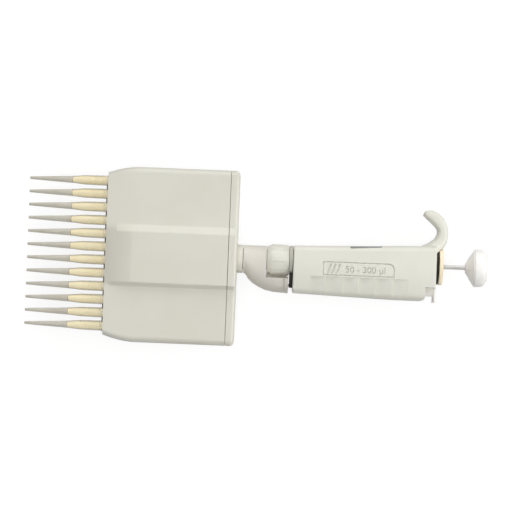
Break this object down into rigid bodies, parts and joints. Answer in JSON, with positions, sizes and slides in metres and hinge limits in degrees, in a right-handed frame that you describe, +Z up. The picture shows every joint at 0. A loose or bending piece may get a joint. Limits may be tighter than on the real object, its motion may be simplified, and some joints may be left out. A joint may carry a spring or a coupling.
{
  "type": "multichannel pipette",
  "caption": "Hand pipette with a wide swivelling head, a row of nozzles with tips, a finger hook, a push knob, a stroke counter and a tip ejector.",
  "frame": {"origin": "on the surface it lies on, under the middle of its length and width", "axes": "+X along the main axis from the tips to the push knob, +Y towards the finger hook, +Z up"},
  "size_m": [0.314, 0.1192, 0.032],
  "materials": {
    "light_grey_plastic": "satin",
    "white_plastic": "smooth",
    "cream_plastic": "smooth",
    "grey_plastic": "satin",
    "nozzle_cream": "smooth",
    "tip_plastic": "translucent",
    "clear_plastic": "clear",
    "black_plastic": "satin",
    "black_rubber": "matt",
    "steel": "polished",
    "brass": "machined"
  },
  "bodies": {
    "handle": {"handle_body": "light_grey_plastic", "window_lens": "clear_plastic", "counter_sleeve": "black_plastic", "volume_nut": "brass", "top_bush": "grey_plastic", "cap_gasket": "black_rubber", "top_cap": "cream_plastic", "handle_spigot": "grey_plastic", "coupling_nut": "light_grey_plastic", "main_spring": "steel", "blowout_spring": "steel", "ejector_spring": "steel"},
    "dial": {"drive_sleeve": "grey_plastic"},
    "stroke_stop": {"volume_screw": "brass"},
    "plunger": {"plunger_rod": "steel", "plunger_collar": "grey_plastic", "knob": "white_plastic", "knob_cap": "white_plastic"},
    "blowout_stop": {"blowout_washer": "steel"},
    "units": {"drum_units": "black_plastic"},
    "tens": {"drum_tens": "black_plastic"},
    "hundreds": {"drum_hundreds": "black_plastic"},
    "ejector": {"ejector_button": "white_plastic", "ejector_rod": "steel", "ejector_arm": "light_grey_plastic"},
    "head": {"head_front_cover": "light_grey_plastic", "head_back_cover": "light_grey_plastic", "head_end_cap": "light_grey_plastic", "swivel_tube": "grey_plastic", "nozzle_block": "grey_plastic", "piston_seal_strip": "black_rubber", "head_screw_1": "steel", "head_screw_2": "steel", "nozzle_01": "nozzle_cream", "nozzle_02": "nozzle_cream", "nozzle_03": "nozzle_cream", "nozzle_04": "nozzle_cream", "nozzle_05": "nozzle_cream", "nozzle_06": "nozzle_cream", "nozzle_07": "nozzle_cream", "nozzle_08": "nozzle_cream", "nozzle_09": "nozzle_cream", "nozzle_10": "nozzle_cream", "nozzle_11": "nozzle_cream", "nozzle_12": "nozzle_cream"},
    "tip_stripper": {"ejector_fork": "grey_plastic", "ejector_plate": "light_grey_plastic"},
    "tips": {"tip_01": "tip_plastic", "tip_02": "tip_plastic", "tip_03": "tip_plastic", "tip_04": "tip_plastic", "tip_05": "tip_plastic", "tip_06": "tip_plastic", "tip_07": "tip_plastic", "tip_08": "tip_plastic", "tip_09": "tip_plastic", "tip_10": "tip_plastic", "tip_11": "tip_plastic", "tip_12": "tip_plastic"},
    "pistons": {"piston_comb": "grey_plastic"}
  },
  "joints": [
    {"name": "dial_turn", "type": "hinge", "parent": "handle", "child": "dial", "pos_m": [0.112, 0, 0.016], "axis": [1, 0, 0], "range_deg": [0, 1800]},
    {"name": "stroke_adjust", "type": "slide", "parent": "dial", "child": "stroke_stop", "axis": [1, 0, 0], "range_m": [0, 0.005]},
    {"name": "plunger_press", "type": "slide", "parent": "stroke_stop", "child": "plunger", "axis": [-1, 0, 0], "range_m": [0, 0.015], "stiffness_N_per_m": 300, "springref_m": -0.008, "deforming": ["main_spring", "blowout_spring"]},
    {"name": "blowout_travel", "type": "slide", "parent": "handle", "child": "blowout_stop", "axis": [-1, 0, 0], "range_m": [0, 0.00375]},
    {"name": "units_turn", "type": "hinge", "parent": "handle", "child": "units", "pos_m": [0.0807, 0, 0.016], "axis": [1, 0, 0], "range_deg": [0, 1800]},
    {"name": "tens_turn", "type": "hinge", "parent": "handle", "child": "tens", "pos_m": [0.0735, 0, 0.016], "axis": [1, 0, 0], "range_deg": [0, 180]},
    {"name": "hundreds_turn", "type": "hinge", "parent": "handle", "child": "hundreds", "pos_m": [0.0664, 0, 0.016], "axis": [1, 0, 0], "range_deg": [0, 18]},
    {"name": "ejector_press", "type": "slide", "parent": "handle", "child": "ejector", "axis": [-1, 0, 0], "range_m": [0, 0.0055], "stiffness_N_per_m": 300, "springref_m": -0.008, "deforming": ["ejector_spring"]},
    {"name": "head_swivel", "type": "hinge", "parent": "handle", "child": "head", "pos_m": [0, 0, 0.016], "axis": [1, 0, 0], "continuous": true},
    {"name": "stripper_travel", "type": "slide", "parent": "head", "child": "tip_stripper", "axis": [-1, 0, 0], "range_m": [0, 0.0055]},
    {"name": "tips_push_off", "type": "slide", "parent": "head", "child": "tips", "axis": [-1, 0, 0], "range_m": [0, 0.0055]},
    {"name": "piston_travel", "type": "slide", "parent": "head", "child": "pistons", "axis": [-1, 0, 0], "range_m": [0, 0.015]}
  ],
  "couplings": [
    {"joint": "dial_turn", "follows": "stroke_adjust", "rad_per_m": 6283.2},
    {"joint": "units_turn", "follows": "stroke_adjust", "rad_per_m": 6283.2},
    {"joint": "tens_turn", "follows": "stroke_adjust", "rad_per_m": 628.32},
    {"joint": "hundreds_turn", "follows": "stroke_adjust", "rad_per_m": 62.832},
    {"joint": "blowout_travel", "follows": "plunger_press", "ratio": 0.25},
    {"joint": "piston_travel", "follows": "plunger_press", "ratio": 1},
    {"joint": "stripper_travel", "follows": "ejector_press", "ratio": 1},
    {"joint": "tips_push_off", "follows": "ejector_press", "ratio": 1}
  ]
}
